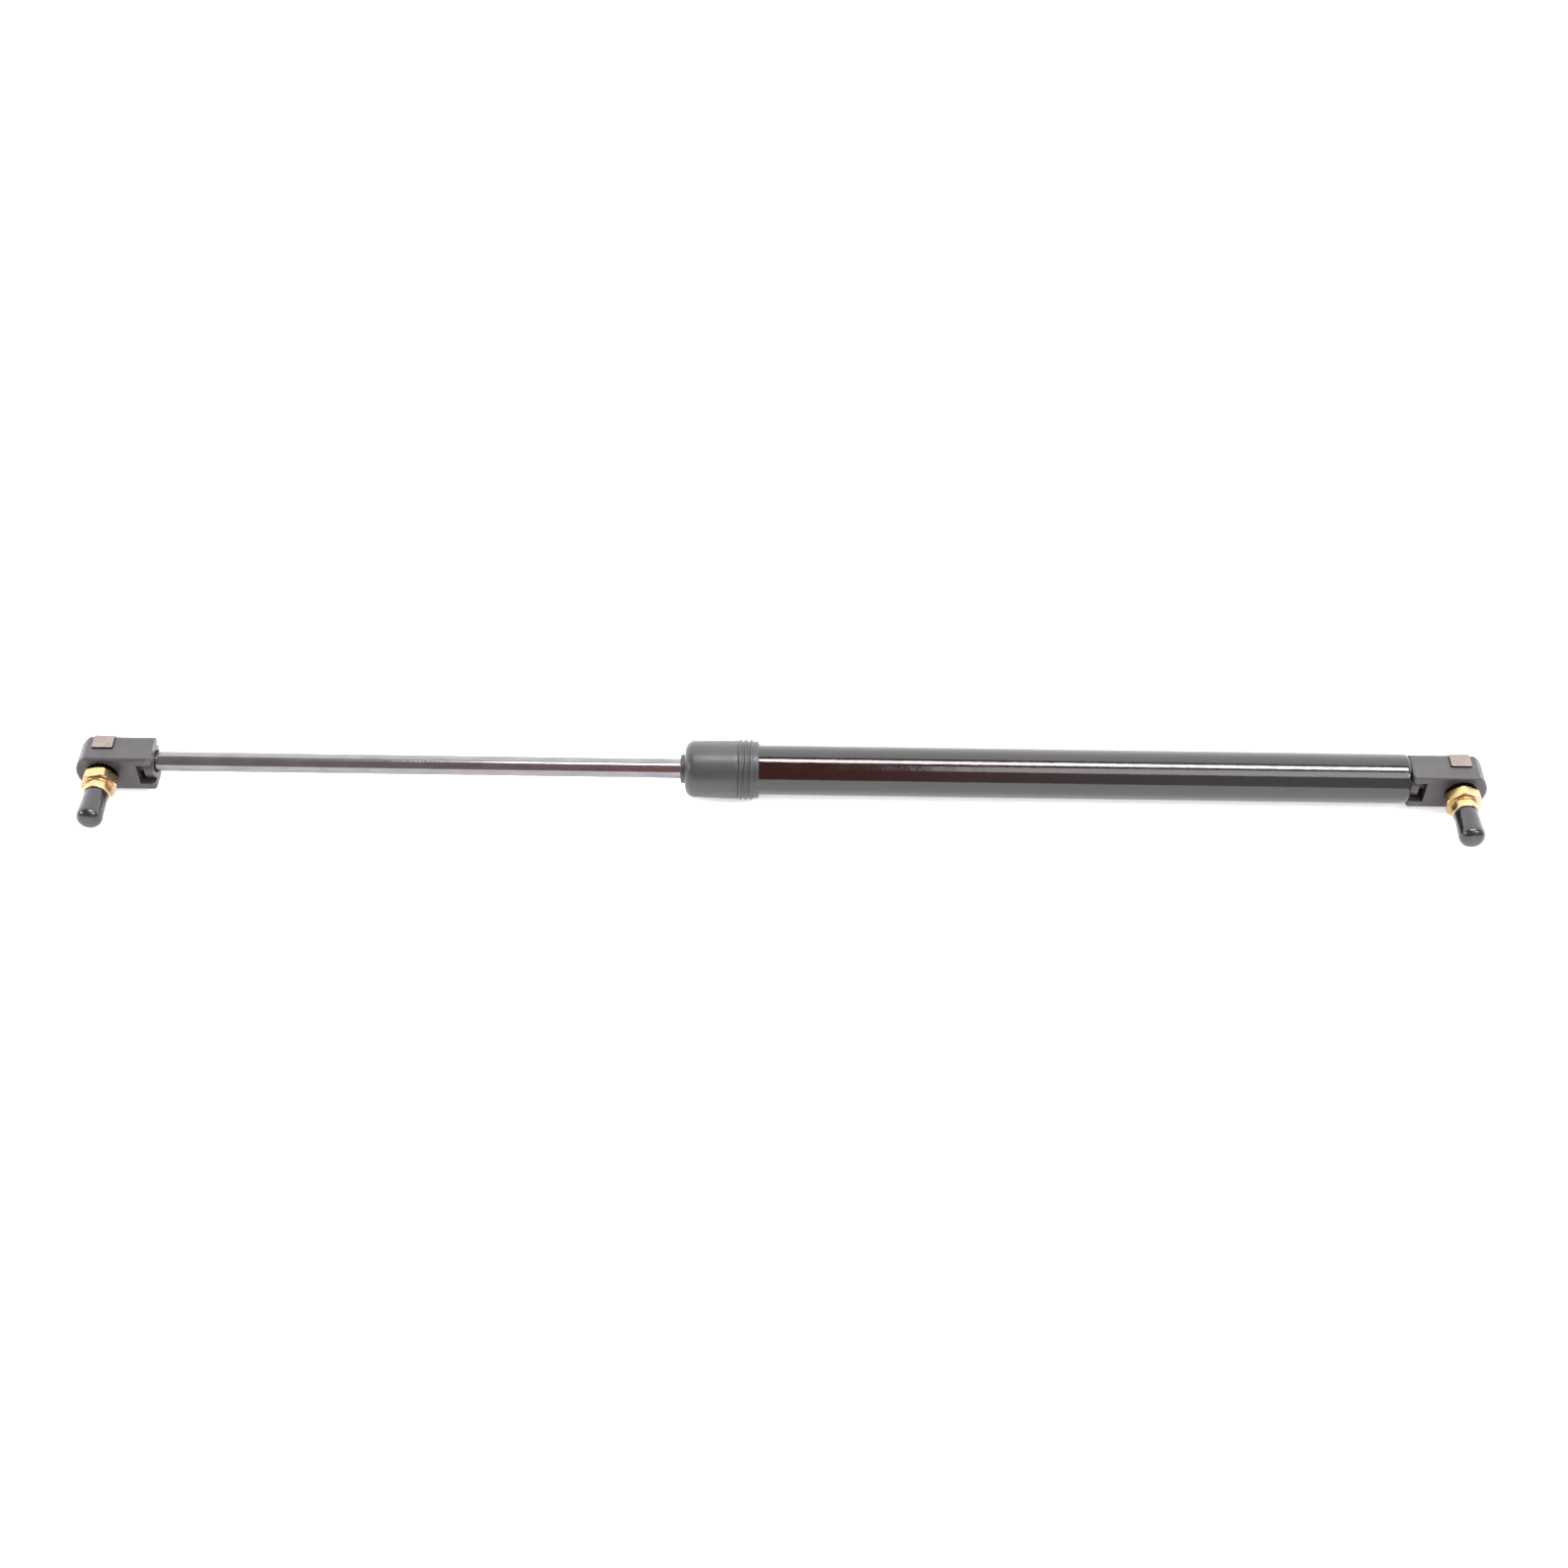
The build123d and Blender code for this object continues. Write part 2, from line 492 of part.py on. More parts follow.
def make_pieces():
    """Every piece of the strut by its name."""
    socket = ball_socket()
    clip = retaining_clip()
    guide = pack_ring(GUIDE_X, GUIDE_LENGTH, ROD_RADIUS + ROD_CLEARANCE, GUIDE_GROOVE_DEPTH)
    seal_washer = pack_ring(SEAL_WASHER_X, SEAL_WASHER_THICKNESS, ROD_RADIUS + WASHER_ROD_GAP)
    spacer = pack_ring(SPACER_X, SPACER_LENGTH, SPACER_INNER_RADIUS, SPACER_GROOVE_DEPTH)
    support_end = SUPPORT_WASHER_X + SUPPORT_WASHER_THICKNESS
    tenon_hole = TENON_RADIUS + SLIP
    ring = ring_x(TUBE_BORE_RADIUS - SLIP, RING_INNER_RADIUS, RING_X, RING_X + RING_WIDTH)
    return {
        "cylinder_tube": cylinder_tube(),
        "tube_end_stud": tube_end_stud(),
        "front_washer": front_washer(),
        "rod_guide": guide,
        "rod_seal": rod_seal(),
        "seal_washer": seal_washer,
        "seal_spacer": spacer,
        "rod_boot": rod_boot(),
        "piston_ring": ring,
        "piston_rod": piston_rod(),
        "support_washer": ring_x(SUPPORT_WASHER_RADIUS, tenon_hole, SUPPORT_WASHER_X, support_end),
        "piston": piston(),
        "valve_disc": valve_disc(),
        "rivet_washer": ring_x(RIVET_WASHER_RADIUS, tenon_hole, RIVET_WASHER_X, RIVET_HEAD_X),
        "tube_socket": at_tube_end(socket),
        "rod_socket": at_rod_end(socket),
        "tube_socket_clip": at_tube_end(clip),
        "rod_socket_clip": at_rod_end(clip),
        "tube_ball_stud": ball_stud(TUBE_STUD_TURN),
        "rod_ball_stud": at_rod_end(ball_stud(ROD_STUD_TURN)),
        "tube_stud_cap": stud_cap(),
        "rod_stud_cap": at_rod_end(stud_cap()),
    }


os.makedirs("parts", exist_ok=True)
for name, piece in make_pieces().items():
    export_step(piece, f"parts/{name}.step")
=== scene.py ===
import json
import math

import bmesh
import bpy
from mathutils import Matrix, Vector, noise as value_noise


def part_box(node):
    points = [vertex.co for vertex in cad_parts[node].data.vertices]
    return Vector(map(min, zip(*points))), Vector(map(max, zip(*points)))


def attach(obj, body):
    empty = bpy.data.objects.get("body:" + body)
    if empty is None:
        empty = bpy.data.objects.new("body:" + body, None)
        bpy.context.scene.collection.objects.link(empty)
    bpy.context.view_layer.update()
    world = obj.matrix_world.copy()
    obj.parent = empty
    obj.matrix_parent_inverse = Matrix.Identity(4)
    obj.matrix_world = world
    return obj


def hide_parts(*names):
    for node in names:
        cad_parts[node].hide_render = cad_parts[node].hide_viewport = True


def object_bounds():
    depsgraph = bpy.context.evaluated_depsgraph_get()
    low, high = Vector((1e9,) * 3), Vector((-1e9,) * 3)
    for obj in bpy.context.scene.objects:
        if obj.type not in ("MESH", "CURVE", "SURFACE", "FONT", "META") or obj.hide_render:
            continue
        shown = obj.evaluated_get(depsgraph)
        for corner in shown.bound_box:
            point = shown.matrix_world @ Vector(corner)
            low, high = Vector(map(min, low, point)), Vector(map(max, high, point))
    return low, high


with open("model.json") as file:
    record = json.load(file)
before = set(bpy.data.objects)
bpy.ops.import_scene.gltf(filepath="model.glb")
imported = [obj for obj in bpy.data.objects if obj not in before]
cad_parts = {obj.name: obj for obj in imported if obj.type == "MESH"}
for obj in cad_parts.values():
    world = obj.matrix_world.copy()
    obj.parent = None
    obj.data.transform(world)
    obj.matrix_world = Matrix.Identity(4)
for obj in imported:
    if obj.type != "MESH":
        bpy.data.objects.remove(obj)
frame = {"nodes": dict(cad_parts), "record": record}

cad_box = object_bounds()
record = frame["record"]
mounts = {mount["name"]: mount for mount in record["mounts"]}

MM = 0.001
MICRON = 0.000001

# ---- Camera: degrees and metres, aimed from the middle of the strut ----
VIEW_ELEVATION = 46.5
VIEW_DISTANCE = 0.893
VIEW_ROLL = 0.80
LENS_MM = 51.75
SENSOR_MM = 36.0
NEAREST_SEEN = 0.01
FARTHEST_SEEN = 100
AIM_RIGHT = 0.0010
AIM_BELOW_AXIS = 0.0056

# ---- Floor: metres, and how strongly it glows ----
FLOOR_GAP = 0.0001
FLOOR_SIZE = 60.0
FLOOR_GLOW = 0.45

# ---- Surroundings: a bright half behind, its centre this many degrees from straight up ----
BACK_CENTRE_ANGLE = 107.0
BACK_EDGE_SOFTNESS = 0.05
BACK_RADIANCE = 3.4
BACKDROP_RADIANCE = 1.2
FRONT_LEFT = (0.80, 0.72, 0.74)
FRONT_WARM = (0.90, 0.24, 0.18)
FRONT_RIGHT = (1.15, 1.10, 1.18)
WARM_CENTRE = 0.01
WARM_REACH = 0.20

# ---- Surface patterns: what counts as low and high noise, and 1 - cosine of the turn at edges painted lighter, for wear and as painted highlight ----
NOISE_LOW = 0.3
NOISE_HIGH = 0.7
WEAR_AND_HIGHLIGHT_START = 0.02
WEAR_AND_HIGHLIGHT_FULL = 0.3
WEAR_AND_HIGHLIGHT_PATCHES_PER_METRE = 900
WEAR_AND_HIGHLIGHT_NOISE_LOW = 0.35
WEAR_AND_HIGHLIGHT_NOISE_HIGH = 0.65
WEAR_AND_HIGHLIGHT_LEAST = 0.15

# ---- Mesh density: millimetres, degrees and counts ----
ROUND_SEGMENTS = 96
CAP_SEGMENTS = 72
FILLET_STEPS = 6
STUD_FILLET_STEPS = 4
BALL_STEP = 6
BOOT_ROW = 1.5
CAP_ROW = 1.2
STUD_ROW = 1.0
THREAD_ROW = 0.1
SMOOTH_ANGLE = 40
STUD_SMOOTH_ANGLE = 28
MERGE_DISTANCE = 0.0001

# ---- Uneven skin of the soft mouldings, millimetres ----
WAVE_HEIGHT = 0.035
WAVES_ROUND = 2
WAVES_ALONG = 0.25
WAVE_FADE_RADIUS = 5.0
BOOT_WAVE_SEED = 3
CAP_WAVE_SEED = {"tube": 4, "rod": 3}

# ---- Dust boot, millimetres, measured from its open end or its axis ----
BOOT_HOLE_RADIUS = 4.35
BOOT_COLLAR_RADIUS = 5.8
BOOT_COLLAR_LENGTH = 1.9
BOOT_FRONT_RADIUS = 11.2
BOOT_BACK_RADIUS = 11.65
BOOT_BAND_RADIUS = 11.3
BOOT_BAND_LENGTH = 1.9
BOOT_RIB_PITCH = 2.15
BOOT_RIB_WIDTH = 1.25
BOOT_RIB_COUNT = 3
BOOT_SLIP = 0.05
BOOT_SHOULDER_FILLET = 3.6
BOOT_COLLAR_FILLET = 0.7
BOOT_EDGE_FILLET = 0.35
BOOT_BARREL_FILLET = 0.25
BOOT_STEP_FILLET = 0.05
BOOT_RIB_FOOT_FILLET = 0.15
BOOT_RIB_FILLET = 0.4
BOOT_RIM_FILLET = 0.2
BOOT_INSIDE_FILLET = 2.0

# ---- Ball studs, millimetres; HEX_TURN is in degrees, from straight up to a corner ----
BALL_RADIUS = 5.0
NECK_RADIUS = 3.0
NECK_FILLET = 0.5
HEX_START = 10.2
HEX_ACROSS_FLATS = 13.0
HEX_SIDE_ANGLE = math.radians(60)
HEX_CHAMFER_ALONG = 0.3
HEX_CHAMFER_IN = 0.55
HEX_CHAMFER_FILLET = 0.08
HEX_EDGE_FILLET = 0.1
HEX_CORNER_ROUNDING = 0.2
HEX_TURN = {"tube": 9, "rod": 39}
SHOULDER_FOOT_FILLET = 0.3
SHOULDER_END_FILLET = 0.35
SAME_PLACE = 0.001
THREAD_PITCH = 1.25
THREAD_DEPTH = 0.62
THREAD_RUN_IN = 0.6
THREAD_PEAK = 1.25
THREAD_FLANK = 3.2
SHANK_CHAMFER = 0.8

# ---- Vinyl caps, millimetres ----
CAP_RIM_RADIUS = 4.65
CAP_RIM_FILLET = 0.28
CAP_DOME_DROP = 0.15
CAP_DOME_REACH = 2.0
CAP_DOME_FILLET = 8.0
CAP_TIP_DROP = 0.45
CAP_TIP_FILLET = 3.1
CAP_TIP_LENGTH = 4.4
CAP_SLEEVE_FILLET = 12.0
CAP_BORE_RADIUS = 4.05
CAP_BORE_FILLET = 0.1
CAP_BORE_END_FILLET = 1.0
CAP_END_WALL = 1.9

axis_middle_x = (cad_box[0].x + cad_box[1].x) / 2


# ---------------------------------------------------------------- camera and light

def make_camera():
    """A camera above and in front of the strut, level with it apart from a slight roll."""
    elevation = math.radians(VIEW_ELEVATION)
    back = Vector((0, -math.cos(elevation), math.sin(elevation)))
    up = Vector((0, math.sin(elevation), math.cos(elevation)))
    right = Vector((1, 0, 0))
    roll = math.radians(VIEW_ROLL)
    rolled_right = right * math.cos(roll) + up * math.sin(roll)
    rolled_up = up * math.cos(roll) - right * math.sin(roll)
    target = Vector((axis_middle_x + AIM_RIGHT, 0, 0)) - up * AIM_BELOW_AXIS
    data = bpy.data.cameras.new("camera")
    data.lens = LENS_MM
    data.sensor_width = SENSOR_MM
    data.clip_start = NEAREST_SEEN
    data.clip_end = FARTHEST_SEEN
    camera = bpy.data.objects.new("camera", data)
    bpy.context.scene.collection.objects.link(camera)
    turn = Matrix((rolled_right, rolled_up, back)).transposed().to_4x4()
    camera.matrix_world = Matrix.Translation(target + back * VIEW_DISTANCE) @ turn
    bpy.context.scene.camera = camera


def softbox(name, angle, distance, offset_x, length, width, radiance):
    """A soft panel light that faces the strut; angle is measured from the front horizon up and over."""
    turn = math.radians(angle)
    middle = Vector((axis_middle_x, 0, 0))
    centre = middle + Vector((offset_x, -math.cos(turn) * distance, math.sin(turn) * distance))
    back = (centre - middle).normalized()
    along = Vector((1, 0, 0))
    along = (along - back * along.dot(back)).normalized()
    data = bpy.data.lights.new(name, "AREA")
    data.shape = "RECTANGLE"
    data.size = length
    data.size_y = width
    data.energy = math.pi * length * width * radiance
    light = bpy.data.objects.new(name, data)
    bpy.context.scene.collection.objects.link(light)
    turn_matrix = Matrix((along, back.cross(along), back)).transposed().to_4x4()
    light.matrix_world = Matrix.Translation(centre) @ turn_matrix
    light.visible_camera = False


def background(tree, radiance):
    """A white background of one radiance; a link may colour it."""
    node = tree.nodes.new("ShaderNodeBackground")
    node.inputs["Color"].default_value = (1, 1, 1, 1)
    node.inputs["Strength"].default_value = radiance
    return node


def towards(tree, direction):
    """1 where the surroundings lie in this direction, and -1 opposite it."""
    coordinate = tree.nodes.new("ShaderNodeTexCoord")
    node = tree.nodes.new("ShaderNodeVectorMath")
    node.operation = "DOT_PRODUCT"
    node.inputs[1].default_value = direction
    tree.links.new(coordinate.outputs["Generated"], node.inputs[0])
    return node.outputs["Value"]


def choose_shader(tree, factor, low, high):
    """low where the factor is 0, high where it is 1."""
    node = tree.nodes.new("ShaderNodeMixShader")
    tree.links.new(factor, node.inputs["Fac"])
    tree.links.new(low, node.inputs[1])
    tree.links.new(high, node.inputs[2])
    return node.outputs["Shader"]


def make_world():
    """Bright surroundings behind and above the strut, and a dim, partly warm room in front of it."""
    world = bpy.data.worlds.new("studio")
    bpy.context.scene.world = world
    world.use_nodes = True
    tree = world.node_tree
    tree.nodes.clear()
    tilt = math.radians(BACK_CENTRE_ANGLE)
    to_back = towards(tree, (0, math.sin(tilt), math.cos(tilt)))
    behind = remap(tree, to_back, -BACK_EDGE_SOFTNESS, BACK_EDGE_SOFTNESS, 0, 1)
    to_right = towards(tree, (1, 0, 0))
    across = remap(tree, to_right, WARM_CENTRE - WARM_REACH, WARM_CENTRE + WARM_REACH, 0, 1)
    tint = colours(tree, across, (0.0, FRONT_LEFT), (0.5, FRONT_WARM), (1.0, FRONT_RIGHT))
    front = background(tree, 1.0)
    tree.links.new(tint, front.inputs["Color"])
    back = background(tree, BACK_RADIANCE)
    backdrop = background(tree, BACKDROP_RADIANCE)
    room = choose_shader(tree, behind, front.outputs["Background"], back.outputs["Background"])
    path = tree.nodes.new("ShaderNodeLightPath")
    seen = choose_shader(tree, path.outputs["Is Camera Ray"], room, backdrop.outputs["Background"])
    output = tree.nodes.new("ShaderNodeOutputWorld")
    tree.links.new(seen, output.inputs["Surface"])


# ---------------------------------------------------------------- node helpers

def noise(tree, scale, detail=2, roughness=0.5, stretch=(1, 1, 1)):
    """Noise in the row frame; scale is in features per metre."""
    coordinate = tree.nodes.new("ShaderNodeTexCoord")
    mapping = tree.nodes.new("ShaderNodeMapping")
    mapping.inputs["Scale"].default_value = stretch
    texture = tree.nodes.new("ShaderNodeTexNoise")
    texture.inputs["Scale"].default_value = scale
    texture.inputs["Detail"].default_value = detail
    texture.inputs["Roughness"].default_value = roughness
    tree.links.new(coordinate.outputs["Object"], mapping.inputs["Vector"])
    tree.links.new(mapping.outputs["Vector"], texture.inputs["Vector"])
    return texture.outputs["Fac"]


def remap(tree, value, from_low, from_high, to_low, to_high):
    """A clamped linear change of range."""
    node = tree.nodes.new("ShaderNodeMapRange")
    node.inputs["From Min"].default_value = from_low
    node.inputs["From Max"].default_value = from_high
    node.inputs["To Min"].default_value = to_low
    node.inputs["To Max"].default_value = to_high
    tree.links.new(value, node.inputs["Value"])
    return node.outputs["Result"]


def colours(tree, value, *stops):
    """A colour ramp from (position, colour) stops."""
    node = tree.nodes.new("ShaderNodeValToRGB")
    elements = node.color_ramp.elements
    while len(elements) < len(stops):
        elements.new(0.5)
    for element, (position, colour) in zip(elements, stops):
        element.position = position
        element.color = (*colour, 1)
    tree.links.new(value, node.inputs["Fac"])
    return node.outputs["Color"]


def mottled(tree, pattern, dark, light):
    """Two colours that a noise pattern drifts between."""
    return colours(tree, pattern, (NOISE_LOW, dark), (NOISE_HIGH, light))


def varied(tree, pattern, low, high):
    """A value that a noise pattern carries from low to high."""
    return remap(tree, pattern, NOISE_LOW, NOISE_HIGH, low, high)


def mix_colour(tree, factor, low, high):
    """low where the factor is 0, high where it is 1."""
    node = tree.nodes.new("ShaderNodeMix")
    node.data_type = "RGBA"
    tree.links.new(factor, node.inputs["Factor"])
    tree.links.new(low, node.inputs[6])
    node.inputs[7].default_value = (*high, 1)
    return node.outputs[2]


def product(tree, first, second):
    """Two varying values multiplied."""
    node = tree.nodes.new("ShaderNodeMath")
    node.operation = "MULTIPLY"
    tree.links.new(first, node.inputs[0])
    tree.links.new(second, node.inputs[1])
    return node.outputs["Value"]


def bump(tree, pattern, height, normal=None):
    """A bump normal; height is the rise in metres of a full step of the pattern."""
    node = tree.nodes.new("ShaderNodeBump")
    node.inputs["Distance"].default_value = height
    node.inputs["Strength"].default_value = 1.0
    tree.links.new(pattern, node.inputs["Height"])
    if normal is not None:
        tree.links.new(normal, node.inputs["Normal"])
    return node.outputs["Normal"]


def edge_wear_and_highlight(tree, radius):
    """0 on open faces, rising to 1 along edges, broken up by noise."""
    # Lightens every edge alike: partly rubbed wear, partly a painted highlight along the fillets.
    bevel = tree.nodes.new("ShaderNodeBevel")
    bevel.inputs["Radius"].default_value = radius
    geometry = tree.nodes.new("ShaderNodeNewGeometry")
    dot = tree.nodes.new("ShaderNodeVectorMath")
    dot.operation = "DOT_PRODUCT"
    tree.links.new(bevel.outputs["Normal"], dot.inputs[0])
    tree.links.new(geometry.outputs["Normal"], dot.inputs[1])
    mask = remap(tree, dot.outputs["Value"], 1 - WEAR_AND_HIGHLIGHT_START, 1 - WEAR_AND_HIGHLIGHT_FULL, 0, 1)
    pattern = noise(tree, WEAR_AND_HIGHLIGHT_PATCHES_PER_METRE, detail=3)
    patches = remap(tree, pattern, WEAR_AND_HIGHLIGHT_NOISE_LOW, WEAR_AND_HIGHLIGHT_NOISE_HIGH, WEAR_AND_HIGHLIGHT_LEAST, 1)
    return product(tree, mask, patches)


def dust_specks(tree, scale, start, full, amount):
    """0 on clean skin, rising to an amount on scattered specks, where the noise peaks."""
    return remap(tree, noise(tree, scale, roughness=0.6), start, full, 0, amount)


def new_material(name, metallic=0.0, specular=0.5):
    """A principled material; returns it with its node tree and shader."""
    material = bpy.data.materials.new(name)
    material.use_nodes = True
    tree = material.node_tree
    tree.nodes.clear()
    output = tree.nodes.new("ShaderNodeOutputMaterial")
    shader = tree.nodes.new("ShaderNodeBsdfPrincipled")
    shader.inputs["Metallic"].default_value = metallic
    shader.inputs["Specular IOR Level"].default_value = specular
    tree.links.new(shader.outputs["BSDF"], output.inputs["Surface"])
    return material, tree, shader


def wire(tree, shader, colour, roughness, normal):
    """Links the three varied inputs of a shader."""
    tree.links.new(colour, shader.inputs["Base Color"])
    tree.links.new(roughness, shader.inputs["Roughness"])
    tree.links.new(normal, shader.inputs["Normal"])


# ---------------------------------------------------------------- materials

def gloss_black_paint():
    """Stoved black enamel with orange peel and a little settled dust."""
    material, tree, shader = new_material("gloss_black_paint", specular=0.55)
    black = (0.0012, 0.0011, 0.0012)
    soft_black = (0.0028, 0.0025, 0.0025)
    dust_grey = (0.14, 0.14, 0.145)
    tone = mottled(tree, noise(tree, 60, detail=4), black, soft_black)
    dust = dust_specks(tree, 5200, start=0.70, full=0.77, amount=0.35)
    colour = mix_colour(tree, dust, tone, dust_grey)
    roughness = varied(tree, noise(tree, 140, detail=4), 0.07, 0.13)
    peel = bump(tree, noise(tree, 620, roughness=0.4), 22 * MICRON)
    normal = bump(tree, noise(tree, 150, detail=1, roughness=0.3), 30 * MICRON, normal=peel)
    wire(tree, shader, colour, roughness, normal)
    return material


def nitrided_rod():
    """Ground and polished dark steel with very fine lines round the rod."""
    material, tree, shader = new_material("nitrided_rod", metallic=1.0)
    dark_steel = (0.135, 0.133, 0.14)
    steel = (0.175, 0.17, 0.176)
    colour = mottled(tree, noise(tree, 90, detail=3, stretch=(1, 3, 3)), dark_steel, steel)
    polish = noise(tree, 400, detail=3, roughness=0.6, stretch=(6, 1, 1))
    roughness = varied(tree, polish, 0.15, 0.23)
    lines = noise(tree, 700, detail=3, roughness=0.7, stretch=(14, 0.3, 0.3))
    normal = bump(tree, lines, 1.2 * MICRON)
    wire(tree, shader, colour, roughness, normal)
    return material


def boot_rubber():
    """Satin dark rubber with a fine moulded grain, and lighter edges painted partly as handling marks and
    partly as painted highlight.
    """
    material, tree, shader = new_material("boot_rubber", specular=0.45)
    dark_grey = (0.016, 0.0175, 0.019)
    grey = (0.024, 0.026, 0.028)
    rubbed_and_highlight_grey = (0.065, 0.07, 0.075)
    tone = mottled(tree, noise(tree, 70, detail=5, roughness=0.6), dark_grey, grey)
    # The paler grey on the edges is partly wear and partly painted highlight on the ribs.
    colour = mix_colour(tree, edge_wear_and_highlight(tree, 0.4 * MM), tone, rubbed_and_highlight_grey)
    roughness = varied(tree, noise(tree, 260, detail=4), 0.32, 0.44)
    normal = bump(tree, noise(tree, 4200, roughness=0.6), 12 * MICRON)
    wire(tree, shader, colour, roughness, normal)
    return material


def socket_plastic():
    """Glass-filled moulded plastic: matte, finely grained and paler along its edges, painted partly as
    rubbing and partly as painted highlight.
    """
    material, tree, shader = new_material("socket_plastic", specular=0.45)
    dark_grey = (0.022, 0.0205, 0.0225)
    grey = (0.034, 0.032, 0.0345)
    rubbed_and_highlight_grey = (0.11, 0.105, 0.112)
    tone = mottled(tree, noise(tree, 120, detail=5, roughness=0.6), dark_grey, grey)
    # The paler grey on the edges is partly rubbing and partly painted highlight along the fillets.
    colour = mix_colour(tree, edge_wear_and_highlight(tree, 0.3 * MM), tone, rubbed_and_highlight_grey)
    roughness = varied(tree, noise(tree, 500, detail=4), 0.38, 0.52)
    grain = bump(tree, noise(tree, 3600, detail=3, roughness=0.65), 22 * MICRON)
    normal = bump(tree, noise(tree, 260, roughness=0.4), 40 * MICRON, normal=grain)
    wire(tree, shader, colour, roughness, normal)
    return material


def yellow_zinc():
    """Yellow-passivated zinc plating, which drifts between gold, green and pink."""
    material, tree, shader = new_material("yellow_zinc", metallic=1.0)
    green_gold = (0.34, 0.28, 0.14)
    gold = (0.39, 0.28, 0.13)
    pink_gold = (0.43, 0.29, 0.175)
    rubbed_and_highlight_gold = (0.55, 0.44, 0.27)
    film = noise(tree, 170, detail=3, roughness=0.55)
    tone = colours(tree, film, (0.34, green_gold), (0.48, gold), (0.62, pink_gold))
    # The paler gold on the hexagon's edges is partly rubbing and partly painted highlight.
    colour = mix_colour(tree, edge_wear_and_highlight(tree, 0.25 * MM), tone, rubbed_and_highlight_gold)
    roughness = varied(tree, noise(tree, 1400, detail=4), 0.22, 0.32)
    normal = bump(tree, noise(tree, 1800), 2.5 * MICRON)
    wire(tree, shader, colour, roughness, normal)
    return material


def clip_steel():
    """Tempered spring strip with rolling lines along the strip."""
    material, tree, shader = new_material("clip_steel", metallic=1.0)
    dark_bronze = (0.150, 0.128, 0.116)
    bronze = (0.195, 0.166, 0.150)
    rubbed_and_highlight_steel = (0.40, 0.36, 0.33)
    tone = mottled(tree, noise(tree, 300, detail=3), dark_bronze, bronze)
    # The paler steel on the strip's edges is partly rubbing and partly painted highlight.
    colour = mix_colour(tree, edge_wear_and_highlight(tree, 0.2 * MM), tone, rubbed_and_highlight_steel)
    finish = noise(tree, 900, detail=3, roughness=0.6, stretch=(8, 1, 1))
    roughness = varied(tree, finish, 0.24, 0.38)
    lines = noise(tree, 900, detail=3, roughness=0.7, stretch=(10, 0.5, 0.5))
    normal = bump(tree, lines, 4 * MICRON)
    wire(tree, shader, colour, roughness, normal)
    return material


def cap_vinyl():
    """Dip-moulded glossy vinyl with a slightly uneven skin."""
    material, tree, shader = new_material("cap_vinyl", specular=0.5)
    black = (0.004, 0.004, 0.0055)
    soft_black = (0.008, 0.008, 0.010)
    dust_grey = (0.09, 0.09, 0.10)
    tone = mottled(tree, noise(tree, 160, detail=4), black, soft_black)
    dust = dust_specks(tree, 4200, start=0.68, full=0.76, amount=0.3)
    colour = mix_colour(tree, dust, tone, dust_grey)
    roughness = varied(tree, noise(tree, 500, detail=4), 0.12, 0.24)
    normal = bump(tree, noise(tree, 420, roughness=0.4), 40 * MICRON)
    wire(tree, shader, colour, roughness, normal)
    return material


def plain_steel():
    """Turned bright steel for the hidden washers and studs."""
    material, tree, shader = new_material("plain_steel", metallic=1.0)
    colour = mottled(tree, noise(tree, 400, detail=3), (0.42, 0.42, 0.43), (0.56, 0.56, 0.57))
    roughness = varied(tree, noise(tree, 1200, detail=3), 0.25, 0.4)
    normal = bump(tree, noise(tree, 2500, detail=3, roughness=0.6), 6 * MICRON)
    wire(tree, shader, colour, roughness, normal)
    return material


def guide_bronze():
    """Porous sintered bronze."""
    material, tree, shader = new_material("guide_bronze", metallic=1.0)
    pore_brown = (0.36, 0.23, 0.10)
    bronze = (0.58, 0.40, 0.20)
    colour = colours(tree, noise(tree, 900, detail=4), (0.35, pore_brown), (0.65, bronze))
    roughness = varied(tree, noise(tree, 1600, detail=3), 0.35, 0.55)
    normal = bump(tree, noise(tree, 5200, detail=3, roughness=0.7), 20 * MICRON)
    wire(tree, shader, colour, roughness, normal)
    return material


def seal_rubber():
    """Smooth oiled nitrile rubber."""
    material, tree, shader = new_material("seal_rubber", specular=0.5)
    colour = mottled(tree, noise(tree, 200, detail=4), (0.010, 0.010, 0.011), (0.020, 0.020, 0.022))
    roughness = varied(tree, noise(tree, 700, detail=4), 0.20, 0.38)
    normal = bump(tree, noise(tree, 2200), 12 * MICRON)
    wire(tree, shader, colour, roughness, normal)
    return material


def natural_acetal():
    """Off-white machined plastic."""
    material, tree, shader = new_material("natural_acetal", specular=0.5)
    colour = mottled(tree, noise(tree, 250, detail=4), (0.60, 0.57, 0.49), (0.72, 0.69, 0.60))
    roughness = varied(tree, noise(tree, 900, detail=4), 0.30, 0.45)
    normal = bump(tree, noise(tree, 3000), 10 * MICRON)
    wire(tree, shader, colour, roughness, normal)
    return material


def floor_material():
    """Pale seamless paper, lit through from below as on a light table."""
    material, tree, shader = new_material("floor_paper", specular=0.1)
    colour = mottled(tree, noise(tree, 3, detail=3), (0.84, 0.84, 0.85), (0.88, 0.88, 0.89))
    roughness = varied(tree, noise(tree, 40), 0.85, 0.95)
    normal = bump(tree, noise(tree, 300), 20 * MICRON)
    shader.inputs["Emission Color"].default_value = (1, 1, 1, 1)
    shader.inputs["Emission Strength"].default_value = FLOOR_GLOW
    wire(tree, shader, colour, roughness, normal)
    return material


# ---------------------------------------------------------------- mesh helpers

